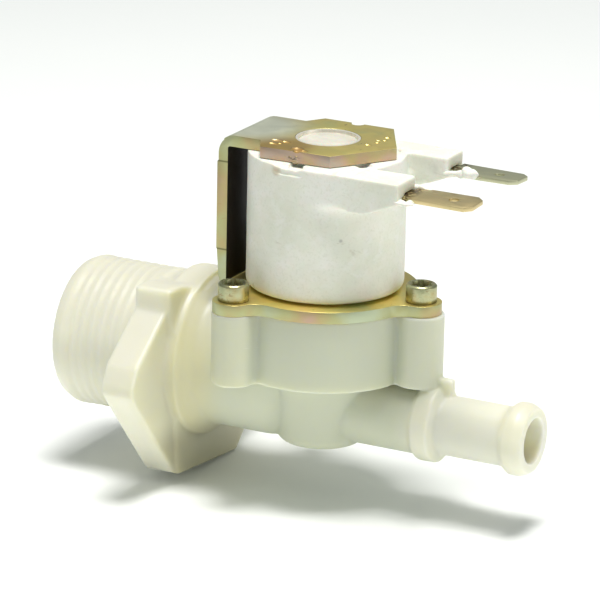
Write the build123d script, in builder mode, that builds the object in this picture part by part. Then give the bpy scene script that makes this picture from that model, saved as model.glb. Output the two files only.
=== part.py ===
from build123d import *

import os
from math import cos, radians, sin, sqrt

# Single solenoid water-inlet valve: thread in, spigot out, coil on top.
#
# Frame: the origin is the centre of the inlet thread's mouth, +X runs through the valve from the
# inlet to the outlet, and +Z runs up the coil's axis. Sizes are in millimetres. "Near" is the -Y
# side and "far" the +Y side.

# ---------------------------------------------------------------- driving dimensions
# Inlet: G 3/4 male thread, collar and neck, all round the inlet axis
thread_r = 13.22
thread_length = 17.5
inlet_bore_r = 10.0
inlet_bore_depth = 20.0
collar_height = 1.48
collar_land = 1.0
thread_relief = 0.3
collar_proud = 1.5
collar_rise = 2.4
collar_step = 0.9
cove_length = 2.6
neck_r = 12.4
neck_setback = 8.2
neck_closing = 6.0

# Mounting flange: an eared plate and a slightly proud block, longer on the far side
flange_ear_thickness = 6.2
flange_block_thickness = 0.8
flange_ear_reach = 25.4
flange_ear_corner = 1.5
flange_ear_top = 3.0
flange_ear_low = -3.9
flange_tip_top = -0.2
flange_tip_low = -1.9
flange_shoulder = 14.2
flange_tab_inner = 10.5
flange_top = 14.3
flange_tab_foot = 10.5
flange_far_top = 9.6
flange_near_foot = 10.7
flange_near_foot_z = -20.1
flange_far_foot = 10.8
flange_far_foot_z = -21.9
flange_far_hip = 14.0
flange_far_hip_z = -18.8
foot_round = 0.7

# Drum: the round chamber under the coil, with three screw bosses, and the bowl below it
coil_x = 46.7
drum_wall = 2.1
drum_bottom = 0.9
drum_top = 13.5
screw_outset = 2.75
boss_r = 3.7
outlet_boss_r = 4.1
boss_web_inset = 0.5
bowl_top_r = 10.6
bowl_low_r = 7.9
bowl_flat_r = 5.6
bowl_bottom = -12.2
bowl_round = 2.4

# Outlet spigot for a 10.5 mm hose
outlet_z = -5.6
outlet_reach = 40.0
root_pipe_r = 5.85
spigot_r = 5.15
spigot_bore_r = 3.9
bead_r = 6.3
bead_length = 4.6
bead_ramp = 1.4
bead_nose = 1.6
bead_nose_drop = 0.7
ring_r = 6.7
ring_reach = 21.4
ring_width = 2.9
ring_slope = 0.8
rib_thickness = 1.6
rib_top = 2.6
rib_reach = 24.9

# Diaphragm seat and water ways
seat_rise = 0.3
seat_outer_r = 5.8
seat_bore_r = 4.2
moat_inset = 2.1
moat_depth = 3.5
passage_r = 3.6
passage_z = 1.8
passage_setback = 7.2
pocket_r = 8.0
pocket_depth = 5.5
seat_bore_below = 2.0

# Inlet strainer and flow regulator
strainer_x = 5.5
strainer_end = 17.0
strainer_rim = 2.0
strainer_end_r = 5.6
strainer_wall = 1.0
strainer_rib = 1.8
screen_thickness = 0.35
screen_gap = 0.2
regulator_gap = 0.3
regulator_length = 5.0
washer_thickness = 2.2
washer_r = 6.4
washer_bore_r = 2.4
washer_depth = 2.6
washer_edge = 0.3
flow_hole_r = 1.1
flow_circle_r = 3.6

# Guide tube and diaphragm
tube_flange_r = 13.3
tube_flange_height = 5.0
tube_flange_roof = 1.6
tube_outer_r = 5.0
tube_wall = 0.65
tube_cap = 1.0
tube_recess = 0.5
rim_height = 2.0
rim_width = 1.9
rim_fillet = 0.6
web_thickness = 0.8
web_slope = 1.0
insert_disc_r = 7.6
insert_disc = 0.9
insert_stem_r = 3.3
insert_stem = 4.0
pilot_seat_height = 1.9
pilot_boss_r = 2.0
pilot_boss_edge = 0.5
pilot_r = 0.55
bleed_r = 0.35
bleed_place = 6.9

# Plunger and its spring
plunger_travel = 3.5
plunger_edge = 0.4
tip_r = 1.9
tip_proud = 0.5
tip_depth = 2.5
groove_width = 1.4
groove_depth = 0.4
spring_pocket = 10.0
spring_wire_r = 0.25
spring_r = 2.2
spring_turns = 9
spring_side_gap = 0.25

# Yoke: one strip of steel, bent into a C
sheet = 2.0
plate_overhang = 0.6
ear_r = 3.55
ear_fillet = 3.4
hexagon = [(-7.1, -11.0), (5.8, -10.6), (12.9, 0.0), (7.1, 10.6), (-6.0, 10.6), (-12.8, 0.0)]
strap_half = 7.4
leg_x = -16.15
bend_inner_r = 0.4
bend_outer_r = 3.4
stake_x = 0.3
stake_r = 1.2
sleeve_wall = 0.5
sleeve_length = 11.5
strap_overlap = 2.0

# Coil
coil_r = 13.5
coil_height = 23.8
coil_wall = 1.2
coil_side_wall = 1.6
coil_foot_round = 0.8
bobbin_wall = 0.95
bobbin_flange = 1.1
winding_r = 11.3
tape_thickness = 0.3
lead_notch = 0.8
arm_width = 3.6
arm_end = 18.3
top_pocket = 2.6
top_pocket_depth = 0.7
top_pocket_place = 10.9

# Terminal horns: flat on top, with undersides that slope up to the tabs
horn_root_x = 13.5
horn_root_height = 6.2
horn_tip_height = 3.5
near_horn_end = 19.8
near_horn_inner = 6.6
near_horn_outer = 13.5
far_horn_end = 19.7
far_horn_inner = 5.5
far_horn_outer = 11.9

# Tab terminals, 6.3 x 0.8
tab_width = 6.3
tab_thickness = 0.8
tab_y = 8.8
tab_neck_width = 3.6
tab_root_x = 12.0
tab_tip_x = 32.2
tab_clip = 1.2
tab_hole_x = 27.9
tab_hole_r = 0.85
lead_r = 0.3
lead_inset = 1.3

# Screws
head_r = 2.65
head_height = 3.1
head_edge = 0.3
socket_r = 1.6
socket_lobe_r = 0.45
socket_depth = 1.6
shank_r = 1.5
screw_length = 12.5
screw_spare_depth = 0.6
plate_hole_r = 1.9

# Named clearances
slide_clearance = 0.08
stop_clearance = 0.1
seat_clearance = 0.1
sleeve_clearance = 0.05
rubber_clearance = 0.1
lead_clearance = 0.1
coil_clearance = 0.1

# ---------------------------------------------------------------- derived places
collar_r = thread_r + collar_height
cove_r = collar_r - collar_step
flange_back = thread_length
ear_front = flange_back + flange_ear_thickness
flange_front = ear_front + flange_block_thickness
collar_front = flange_front + collar_proud
plate_top = drum_top + sheet
coil_top = plate_top + coil_height
hex_bottom = coil_top + coil_clearance
hex_top = hex_bottom + sheet
leg_outer = coil_x + leg_x - sheet / 2
leg_inner = leg_outer + sheet
tube_inner_r = tube_outer_r - tube_wall
tube_top = hex_top - tube_recess
tube_ceiling = tube_top - tube_cap
sleeve_inner_r = tube_outer_r + sleeve_clearance
sleeve_outer_r = sleeve_inner_r + sleeve_wall
yoke_hole_r = sleeve_outer_r + sleeve_clearance
strap_end = coil_x - yoke_hole_r - strap_overlap
hexagon_far = max(corner_y for corner_x, corner_y in hexagon)
bobbin_outer_r = yoke_hole_r + bobbin_wall
bobbin_flange_r = coil_r - coil_side_wall
bobbin_low = plate_top + coil_wall
bobbin_high = coil_top - coil_wall
winding_low = bobbin_low + bobbin_flange
winding_high = bobbin_high - bobbin_flange
tab_top = winding_high
tab_bottom = tab_top - tab_thickness
lead_y = tab_y - lead_inset
lead_z = (tab_top + tab_bottom) / 2
lead_start = sqrt(winding_r**2 - (lead_y - lead_r) ** 2) + lead_clearance
neck_end = coil_x - neck_setback
outlet_end = coil_x + outlet_reach
ring_x = coil_x + ring_reach
rib_end = coil_x + rib_reach
chamber_floor = drum_top - tube_flange_height - rim_height
chamber_r = tube_flange_r + seat_clearance
drum_r = chamber_r + drum_wall
screw_circle_r = drum_r + screw_outset
plate_r = drum_r + plate_overhang
seat_top = chamber_floor + seat_rise
moat_r = tube_flange_r - moat_inset
moat_floor = chamber_floor - moat_depth
skirt_z = chamber_floor + rim_height
rim_inner_r = tube_flange_r - rim_width
stem_hole_r = insert_stem_r + rubber_clearance
insert_base = seat_top + web_thickness
pilot_top = insert_base + pilot_seat_height
plunger_r = tube_inner_r - slide_clearance
plunger_bottom = pilot_top + tip_proud
plunger_top = tube_ceiling - plunger_travel - stop_clearance
spring_foot = plunger_top - spring_pocket + spring_wire_r
spring_head = tube_ceiling - spring_wire_r
window_start = strainer_x + strainer_rim + strainer_wall
window_end = strainer_end - strainer_wall - screen_thickness
regulator_x = inlet_bore_depth + regulator_gap

screw_angles = {"outlet": 0, "near": -120, "far": 120}
screw_count = len(screw_angles)
horns = {
    "near": (near_horn_end, -near_horn_outer, -near_horn_inner),
    "far": (far_horn_end, far_horn_inner, far_horn_outer),
}


def coil_plane(height):
    """Level plane centred on the coil's axis."""
    return Plane((coil_x, 0, height))


def screw_place(angle, height):
    """Centre of one screw at a given height."""
    turn = radians(angle)
    return coil_x + screw_circle_r * cos(turn), screw_circle_r * sin(turn), height


def save(piece, name):
    """Label one finished piece and write it as its own STEP file."""
    piece.label = name
    export_step(piece, f"parts/{name}.step")


os.makedirs("parts", exist_ok=True)

# ---------------------------------------------------------------- valve body
# Flange outlines seen along +X: the near half carries a tab on top, the far half a longer foot.
near_ear = [
    (-flange_tab_inner, flange_top),
    (-flange_shoulder, flange_top),
    (-flange_shoulder, flange_tab_foot),
    (-flange_ear_reach + flange_ear_corner, flange_ear_top),
    (-flange_ear_reach, flange_tip_top),
    (-flange_ear_reach, flange_tip_low),
    (-flange_ear_reach + flange_ear_corner, flange_ear_low),
    (-flange_near_foot, flange_near_foot_z + foot_round),
    (-flange_near_foot + foot_round, flange_near_foot_z),
]
far_ear = [
    (flange_far_foot, flange_far_foot_z),
    (flange_far_hip, flange_far_hip_z),
    (flange_ear_reach - flange_ear_corner, flange_ear_low),
    (flange_ear_reach, flange_tip_low),
    (flange_ear_reach, flange_tip_top),
    (flange_ear_reach - flange_ear_corner, flange_ear_top),
    (flange_tab_inner, flange_far_top),
]
block = [
    (-flange_tab_inner, flange_top),
    (-flange_shoulder, flange_top),
    (-flange_near_foot, flange_near_foot_z + foot_round),
    (-flange_near_foot + foot_round, flange_near_foot_z),
    (flange_far_foot, flange_far_foot_z),
    (flange_far_hip, flange_far_hip_z),
    (flange_tab_inner, flange_far_top),
]

with BuildPart() as valve_body:
    # Inlet, turned about the inlet axis: thread, collar, cove and neck
    with BuildSketch(Plane.XZ):
        with BuildLine():
            Polyline(
                (0, 0),
                (0, thread_r),
                (flange_back, thread_r),
                (flange_back, thread_r - thread_relief),
                (flange_back + collar_land, thread_r - thread_relief),
                (flange_back + collar_land + collar_rise, collar_r),
                (collar_front, collar_r),
                (collar_front, cove_r),
            )
            Spline(
                (collar_front, cove_r),
                (collar_front + cove_length, neck_r),
                tangents=((1, 0), (1, 0)),
            )
            Line((collar_front + cove_length, neck_r), (neck_end, neck_r))
            CenterArc((neck_end, neck_r - neck_closing), neck_closing, 0, 90)
            Polyline((neck_end + neck_closing, neck_r - neck_closing), (neck_end + neck_closing, 0), (0, 0))
        make_face()
    revolve(axis=Axis.X)
    # Flange ears, then the block in front of them
    with BuildSketch(Plane.YZ.offset(flange_back)):
        with BuildLine():
            Polyline(*near_ear, *far_ear, close=True)
        make_face()
    extrude(amount=flange_ear_thickness)
    with BuildSketch(Plane.YZ.offset(ear_front)):
        with BuildLine():
            Polyline(*block, close=True)
        make_face()
    extrude(amount=flange_block_thickness)
    # Drum with its three bosses
    with BuildSketch(coil_plane(drum_bottom)):
        Circle(drum_r)
        with PolarLocations(screw_circle_r, screw_count):
            Circle(boss_r)
            with Locations((-boss_r / 2, 0)):
                Rectangle(boss_r, 2 * (boss_r - boss_web_inset))
        with Locations((screw_circle_r, 0)):
            Circle(outlet_boss_r)
    extrude(amount=drum_top - drum_bottom)
    # Bowl under the seat, turned about the coil's axis
    with BuildSketch(Plane.XZ):
        with BuildLine():
            Polyline(
                (coil_x, bowl_bottom),
                (coil_x, drum_bottom),
                (coil_x + bowl_top_r, drum_bottom),
                (coil_x + bowl_low_r, bowl_bottom + bowl_round),
            )
            Spline(
                (coil_x + bowl_low_r, bowl_bottom + bowl_round),
                (coil_x + bowl_flat_r, bowl_bottom),
                tangents=((0, -1), (-1, 0)),
            )
            Line((coil_x + bowl_flat_r, bowl_bottom), (coil_x, bowl_bottom))
        make_face()
    revolve(axis=Axis((coil_x, 0, 0), (0, 0, 1)))
    # Outlet: stout root pipe, locating ring, hose spigot and end bead
    with BuildSketch(Plane.XZ):
        with BuildLine():
            Polyline(
                (coil_x, outlet_z),
                (coil_x, outlet_z + root_pipe_r),
                (ring_x - ring_width / 2 - ring_slope, outlet_z + root_pipe_r),
                (ring_x - ring_width / 2, outlet_z + ring_r),
                (ring_x + ring_width / 2, outlet_z + ring_r),
                (ring_x + ring_width / 2 + ring_slope, outlet_z + spigot_r),
                (outlet_end - bead_length, outlet_z + spigot_r),
                (outlet_end - bead_length + bead_ramp, outlet_z + bead_r),
                (outlet_end - bead_nose, outlet_z + bead_r),
                (outlet_end, outlet_z + bead_r - bead_nose_drop),
                (outlet_end, outlet_z),
                close=True,
            )
        make_face()
    revolve(axis=Axis((0, 0, outlet_z), (1, 0, 0)))
    # Rib that ties the spigot to the outlet boss
    with BuildSketch(Plane.XZ):
        with Locations(((coil_x + screw_circle_r + rib_end) / 2, (outlet_z + rib_top) / 2)):
            Rectangle(rib_end - coil_x - screw_circle_r, rib_top - outlet_z)
    extrude(amount=rib_thickness / 2, both=True)
    # Chamber for guide tube and diaphragm, then the moat round the seat
    with BuildSketch(coil_plane(drum_top)):
        Circle(chamber_r)
    extrude(amount=chamber_floor - drum_top, mode=Mode.SUBTRACT)
    with BuildSketch(coil_plane(seat_top)):
        Circle(moat_r)
        Circle(seat_outer_r, mode=Mode.SUBTRACT)
    extrude(amount=moat_floor - seat_top, mode=Mode.SUBTRACT)
    # Inlet bore, regulator pocket and passage to the moat
    with BuildSketch(Plane.YZ):
        Circle(inlet_bore_r)
    extrude(amount=inlet_bore_depth, mode=Mode.SUBTRACT)
    with BuildSketch(Plane.YZ.offset(inlet_bore_depth)):
        Circle(pocket_r)
    extrude(amount=pocket_depth, mode=Mode.SUBTRACT)
    with BuildSketch(Plane.YZ.offset(inlet_bore_depth + pocket_depth)):
        with Locations((0, passage_z)):
            Circle(passage_r)
    extrude(amount=coil_x - passage_setback - inlet_bore_depth - pocket_depth, mode=Mode.SUBTRACT)
    # Seat bore down to the outlet bore
    with BuildSketch(coil_plane(seat_top)):
        Circle(seat_bore_r)
    extrude(amount=outlet_z - seat_bore_below - seat_top, mode=Mode.SUBTRACT)
    with BuildSketch(Plane.YZ.offset(coil_x)):
        with Locations((0, outlet_z)):
            Circle(spigot_bore_r)
    extrude(amount=outlet_end - coil_x, mode=Mode.SUBTRACT)
    # Blind holes for the screws
    with BuildSketch(coil_plane(drum_top)):
        with PolarLocations(screw_circle_r, screw_count):
            Circle(shank_r)
    extrude(amount=sheet - screw_length - screw_spare_depth, mode=Mode.SUBTRACT)
save(valve_body.part, "valve_body")

# ---------------------------------------------------------------- inlet strainer and flow regulator
with BuildPart() as strainer_frame:
    # Rim that grips the bore, four ribs and a closed end
    with BuildSketch(Plane.YZ.offset(strainer_x)):
        Circle(inlet_bore_r)
        Circle(inlet_bore_r - 2 * strainer_wall, mode=Mode.SUBTRACT)
    extrude(amount=strainer_rim)
    with BuildSketch(Plane.YZ.offset(strainer_x + strainer_rim)):
        Circle(inlet_bore_r - strainer_wall)
    with BuildSketch(Plane.YZ.offset(strainer_end)):
        Circle(strainer_end_r)
    loft()
    with BuildSketch(Plane.YZ.offset(strainer_x + strainer_rim)):
        Circle(inlet_bore_r - 2 * strainer_wall)
    with BuildSketch(Plane.YZ.offset(strainer_end - strainer_wall)):
        Circle(strainer_end_r - strainer_wall)
    loft(mode=Mode.SUBTRACT)
    # Windows between the ribs
    with BuildSketch(Plane.YZ.offset(window_start)):
        Circle(inlet_bore_r)
        Rectangle(strainer_rib, 2 * inlet_bore_r, mode=Mode.SUBTRACT)
        Rectangle(2 * inlet_bore_r, strainer_rib, mode=Mode.SUBTRACT)
    extrude(amount=window_end - window_start, mode=Mode.SUBTRACT)
    # Cross web to pull it out by
    with BuildSketch(Plane.YZ.offset(strainer_x)):
        Rectangle(strainer_wall, 2 * (inlet_bore_r - strainer_wall))
    extrude(amount=strainer_rim + strainer_wall)
save(strainer_frame.part, "strainer_frame")

with BuildPart() as strainer_screen:
    # Fine mesh sleeve just inside the ribs
    screen_start = window_start + screen_gap
    screen_end = strainer_end - strainer_wall - screen_gap
    screen_start_r = inlet_bore_r - 2 * strainer_wall - 3 * screen_gap
    screen_end_r = strainer_end_r - strainer_wall - screen_gap
    with BuildSketch(Plane.YZ.offset(screen_start)):
        Circle(screen_start_r)
    with BuildSketch(Plane.YZ.offset(screen_end)):
        Circle(screen_end_r)
    loft()
    with BuildSketch(Plane.YZ.offset(screen_start)):
        Circle(screen_start_r - screen_thickness)
    with BuildSketch(Plane.YZ.offset(screen_end)):
        Circle(screen_end_r - screen_thickness)
    loft(mode=Mode.SUBTRACT)
save(strainer_screen.part, "strainer_screen")

with BuildPart() as regulator_carrier:
    # Carrier with a ring of flow holes, which holds the rubber washer up against the flow
    with BuildSketch(Plane.YZ.offset(regulator_x)):
        Circle(pocket_r)
    extrude(amount=regulator_length)
    with BuildSketch(Plane.YZ.offset(regulator_x)):
        Circle(washer_r)
    extrude(amount=washer_depth, mode=Mode.SUBTRACT)
    with BuildSketch(Plane.YZ.offset(regulator_x)):
        Circle(flow_hole_r)
        with PolarLocations(flow_circle_r, 6):
            Circle(flow_hole_r)
    extrude(amount=regulator_length, mode=Mode.SUBTRACT)
save(regulator_carrier.part, "regulator_carrier")

with BuildPart() as regulator_washer:
    with BuildSketch(Plane.YZ.offset(regulator_x + washer_depth)):
        Circle(washer_r - rubber_clearance)
        Circle(washer_bore_r, mode=Mode.SUBTRACT)
    extrude(amount=-washer_thickness)
    chamfer(regulator_washer.edges().filter_by(GeomType.CIRCLE).group_by(Axis.X)[0], washer_edge)
save(regulator_washer.part, "regulator_washer")

# ---------------------------------------------------------------- diaphragm and its insert
with BuildPart() as diaphragm:
    # Thick rim clamped on the chamber floor, thin web that lies on the seat
    with BuildSketch(Plane.XZ):
        with BuildLine():
            Polyline(
                (coil_x + stem_hole_r, seat_top),
                (coil_x + moat_r - web_slope, seat_top),
                (coil_x + moat_r, chamber_floor),
                (coil_x + tube_flange_r, chamber_floor),
                (coil_x + tube_flange_r, skirt_z),
                (coil_x + rim_inner_r, skirt_z),
                (coil_x + rim_inner_r - rim_fillet, insert_base),
                (coil_x + stem_hole_r, insert_base),
                close=True,
            )
        make_face()
    revolve(axis=Axis((coil_x, 0, 0), (0, 0, 1)))
    with BuildSketch(coil_plane(seat_top)):
        with Locations((0, bleed_place)):
            Circle(bleed_r)
    extrude(amount=web_thickness, mode=Mode.SUBTRACT)
save(diaphragm.part, "diaphragm")

with BuildPart() as diaphragm_insert:
    # Disc on the web, pilot boss above and guide stem below
    with BuildSketch(coil_plane(insert_base)):
        Circle(insert_disc_r)
    extrude(amount=insert_disc)
    with BuildSketch(coil_plane(insert_base)):
        Circle(pilot_boss_r)
    extrude(amount=pilot_seat_height)
    with BuildSketch(coil_plane(insert_base)):
        Circle(insert_stem_r)
    extrude(amount=-insert_stem)
    chamfer(diaphragm_insert.edges().filter_by(GeomType.CIRCLE).group_by(Axis.Z)[-1], pilot_boss_edge)
    with BuildSketch(coil_plane(pilot_top)):
        Circle(pilot_r)
        with Locations((0, bleed_place)):
            Circle(bleed_r)
    extrude(amount=-pilot_seat_height - insert_stem, mode=Mode.SUBTRACT)
save(diaphragm_insert.part, "diaphragm_insert")

# ---------------------------------------------------------------- guide tube, plunger and spring
with BuildPart() as guide_tube:
    # Skirted flange that clamps the diaphragm rim, closed tube up through the coil
    with BuildSketch(coil_plane(skirt_z)):
        Circle(tube_flange_r)
    extrude(amount=tube_flange_height)
    with BuildSketch(coil_plane(skirt_z)):
        Circle(tube_outer_r)
    extrude(amount=tube_top - skirt_z)
    with BuildSketch(coil_plane(skirt_z)):
        Circle(rim_inner_r)
    extrude(amount=tube_flange_height - tube_flange_roof, mode=Mode.SUBTRACT)
    with BuildSketch(coil_plane(skirt_z)):
        Circle(tube_inner_r)
    extrude(amount=tube_ceiling - skirt_z, mode=Mode.SUBTRACT)
save(guide_tube.part, "guide_tube")

with BuildPart() as plunger:
    # Steel armature: pocket for the rubber tip below, spring pocket above, water grooves outside
    with BuildSketch(coil_plane(plunger_bottom)):
        Circle(plunger_r)
    extrude(amount=plunger_top - plunger_bottom)
    chamfer(plunger.edges().filter_by(GeomType.CIRCLE), plunger_edge)
    with BuildSketch(coil_plane(plunger_bottom)):
        Circle(tip_r)
    extrude(amount=tip_depth, mode=Mode.SUBTRACT)
    with BuildSketch(coil_plane(plunger_top)):
        Circle(spring_r + spring_wire_r + spring_side_gap)
    extrude(amount=-spring_pocket, mode=Mode.SUBTRACT)
    with BuildSketch(coil_plane(plunger_bottom)):
        with PolarLocations(plunger_r, 3):
            Rectangle(2 * groove_depth, groove_width)
    extrude(amount=plunger_top - plunger_bottom, mode=Mode.SUBTRACT)
save(plunger.part, "plunger")

with BuildPart() as plunger_tip:
    with BuildSketch(coil_plane(pilot_top)):
        Circle(tip_r)
    extrude(amount=tip_proud + tip_depth)
save(plunger_tip.part, "plunger_tip")

with BuildPart() as plunger_spring:
    # Return spring between the plunger's pocket and the tube's closed end
    with BuildLine(coil_plane(spring_foot)):
        coil_path = Helix(
            pitch=(spring_head - spring_foot) / spring_turns,
            height=spring_head - spring_foot,
            radius=spring_r,
        )
    with BuildSketch(Plane(coil_path @ 0, z_dir=coil_path % 0)):
        Circle(spring_wire_r)
    sweep(path=coil_path)
save(plunger_spring.part, "plunger_spring")

# ---------------------------------------------------------------- flux sleeves
for name, foot in {"lower_flux_sleeve": drum_top, "upper_flux_sleeve": hex_top - sleeve_length}.items():
    with BuildPart() as flux_sleeve:
        with BuildSketch(coil_plane(foot)):
            Circle(sleeve_outer_r)
            Circle(sleeve_inner_r, mode=Mode.SUBTRACT)
        extrude(amount=sleeve_length)
    save(flux_sleeve.part, name)

# ---------------------------------------------------------------- yoke
with BuildPart() as yoke:
    # The strip's side profile: bottom plate, leg and top plate with round bends
    with BuildSketch(Plane.XZ):
        with BuildLine():
            FilletPolyline(
                (strap_end, drum_top),
                (leg_outer, drum_top),
                (leg_outer, hex_top),
                (strap_end, hex_top),
                radius=bend_outer_r,
            )
            FilletPolyline(
                (strap_end, hex_bottom),
                (leg_inner, hex_bottom),
                (leg_inner, plate_top),
                (strap_end, plate_top),
                radius=bend_inner_r,
            )
            Line((strap_end, hex_top), (strap_end, hex_bottom))
            Line((strap_end, plate_top), (strap_end, drum_top))
        make_face()
    extrude(amount=strap_half, both=True)
    # Three-eared bottom plate
    with BuildSketch(coil_plane(drum_top)) as eared_plate:
        Circle(plate_r)
        with PolarLocations(screw_circle_r, screw_count):
            Circle(ear_r)
        fillet(eared_plate.vertices(), ear_fillet)
        with PolarLocations(screw_circle_r, screw_count):
            Circle(plate_hole_r, mode=Mode.SUBTRACT)
    extrude(amount=sheet)
    # Hexagonal top plate with a notch in its far side
    with BuildSketch(coil_plane(hex_bottom)):
        with BuildLine():
            Polyline(*hexagon, close=True)
        make_face()
        with Locations((stake_x, hexagon_far)):
            Circle(stake_r, mode=Mode.SUBTRACT)
    extrude(amount=sheet)
    # Holes for the flux sleeves
    with BuildSketch(coil_plane(drum_top)):
        Circle(yoke_hole_r)
    extrude(amount=hex_top - drum_top, mode=Mode.SUBTRACT)
save(yoke.part, "yoke")

# ---------------------------------------------------------------- coil
with BuildPart() as coil_bobbin:
    with BuildSketch(coil_plane(plate_top)):
        Circle(bobbin_outer_r)
    extrude(amount=coil_height)
    with BuildSketch(coil_plane(bobbin_low)):
        Circle(bobbin_flange_r)
    extrude(amount=bobbin_flange)
    # Top flange with an arm over each terminal
    with BuildSketch(coil_plane(winding_high)):
        Circle(bobbin_flange_r)
        with Locations((arm_end / 2, tab_y), (arm_end / 2, -tab_y)):
            Rectangle(arm_end, arm_width)
    extrude(amount=bobbin_flange)
    with BuildSketch(coil_plane(plate_top)):
        Circle(yoke_hole_r)
    extrude(amount=coil_height, mode=Mode.SUBTRACT)
save(coil_bobbin.part, "coil_bobbin")

with BuildPart() as coil_winding:
    with BuildSketch(coil_plane(winding_low)):
        Circle(winding_r)
        Circle(bobbin_outer_r, mode=Mode.SUBTRACT)
    extrude(amount=winding_high - winding_low)
save(coil_winding.part, "coil_winding")

with BuildPart() as winding_tape:
    # Tape round the winding, notched at the top edge where the two wire tails come out
    with BuildSketch(coil_plane(winding_low)):
        Circle(winding_r + tape_thickness)
        Circle(winding_r, mode=Mode.SUBTRACT)
    extrude(amount=winding_high - winding_low)
    with BuildSketch(coil_plane(winding_high)):
        with Locations((coil_r / 2, lead_y), (coil_r / 2, -lead_y)):
            Rectangle(coil_r, 2 * (lead_r + lead_clearance))
    extrude(amount=-lead_notch, mode=Mode.SUBTRACT)
save(winding_tape.part, "winding_tape")

with BuildPart() as coil_case:
    with BuildSketch(coil_plane(plate_top)):
        Circle(coil_r)
    extrude(amount=coil_height)
    # Terminal horns: flat-topped arms with a sloping underside
    for horn_end, horn_start_y, horn_end_y in horns.values():
        with BuildSketch(Plane.XZ.offset(-horn_end_y)):
            with BuildLine():
                Polyline(
                    (coil_x, coil_top),
                    (coil_x + horn_end, coil_top),
                    (coil_x + horn_end, coil_top - horn_tip_height),
                    (coil_x + horn_root_x, coil_top - horn_root_height),
                    (coil_x, coil_top - horn_root_height),
                    close=True,
                )
            make_face()
        extrude(amount=horn_end_y - horn_start_y)
    fillet(coil_case.edges().filter_by(GeomType.CIRCLE).group_by(Axis.Z)[0], coil_foot_round)
    # Cavity for the wound bobbin
    with BuildSketch(coil_plane(bobbin_low)):
        Circle(bobbin_flange_r)
    extrude(amount=bobbin_high - bobbin_low, mode=Mode.SUBTRACT)
    with BuildSketch(coil_plane(plate_top)):
        Circle(bobbin_outer_r)
    extrude(amount=coil_height, mode=Mode.SUBTRACT)
    with BuildSketch(coil_plane(winding_high)):
        with Locations((arm_end / 2, tab_y), (arm_end / 2, -tab_y)):
            Rectangle(arm_end, arm_width)
    extrude(amount=bobbin_flange, mode=Mode.SUBTRACT)
    # Slots for the terminals' necks and for the wire tails
    with BuildSketch(coil_plane(tab_bottom)):
        with Locations((near_horn_end, tab_y), (near_horn_end, -tab_y)):
            Rectangle(2 * (near_horn_end - tab_root_x), tab_neck_width)
    extrude(amount=tab_thickness, mode=Mode.SUBTRACT)
    with BuildSketch(Plane.YZ.offset(coil_x + lead_start)):
        with Locations((lead_y, lead_z), (-lead_y, lead_z)):
            Circle(lead_r)
    extrude(amount=tab_root_x - lead_start, mode=Mode.SUBTRACT)
    # Moulding pockets in the top, under four of the hexagon's flats
    with BuildSketch(coil_plane(coil_top)):
        with PolarLocations(top_pocket_place, 4, start_angle=-90, angular_range=180, endpoint=True):
            Rectangle(top_pocket, top_pocket)
    extrude(amount=-top_pocket_depth, mode=Mode.SUBTRACT)
save(coil_case.part, "coil_case")

for side, (horn_end, horn_start_y, horn_end_y) in horns.items():
    side_y = -1 if side == "near" else 1
    blade_start = horn_end + seat_clearance
    with BuildPart() as terminal:
        # Flat tab with clipped corners and a latch hole, on a narrower neck that sits in its horn
        with BuildSketch(coil_plane(tab_bottom)) as tab_blank:
            with Locations(((blade_start + tab_tip_x) / 2, side_y * tab_y)):
                Rectangle(tab_tip_x - blade_start, tab_width)
            chamfer(tab_blank.vertices().sort_by(Axis.X)[-2:], tab_clip)
            with Locations(((tab_root_x + tab_hole_x) / 2, side_y * tab_y)):
                Rectangle(tab_hole_x - tab_root_x, tab_neck_width)
            with Locations((tab_hole_x, side_y * tab_y)):
                Circle(tab_hole_r, mode=Mode.SUBTRACT)
        extrude(amount=tab_thickness)
    save(terminal.part, f"terminal_{side}")
    with BuildPart() as lead:
        with BuildSketch(Plane.YZ.offset(coil_x + lead_start)):
            with Locations((side_y * lead_y, lead_z)):
                Circle(lead_r)
        extrude(amount=tab_root_x - lead_start)
    save(lead.part, f"lead_{side}")

# ---------------------------------------------------------------- screws
for name, angle in screw_angles.items():
    with BuildPart() as screw:
        # Cylinder head with a six-lobe socket, plain shank of the thread's core size
        with BuildSketch(Plane(screw_place(angle, plate_top))):
            Circle(head_r)
        extrude(amount=head_height)
        chamfer(screw.edges().filter_by(GeomType.CIRCLE).group_by(Axis.Z)[-1], head_edge)
        with BuildSketch(Plane(screw_place(angle, plate_top))):
            Circle(shank_r)
        extrude(amount=-screw_length)
        with BuildSketch(Plane(screw_place(angle, plate_top + head_height))):
            Circle(socket_r)
            with PolarLocations(socket_r, 6):
                Circle(socket_lobe_r)
        extrude(amount=-socket_depth, mode=Mode.SUBTRACT)
    save(screw.part, f"screw_{name}")
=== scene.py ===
"""Looks of a single solenoid water-inlet valve.

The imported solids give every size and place. Each section dresses one piece, in the order in
which the valve goes together, from the moulded body up to the screws.
"""
from math import atan2, cos, pi, radians, sin

import bpy
from mathutils import Matrix, Vector, noise


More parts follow.
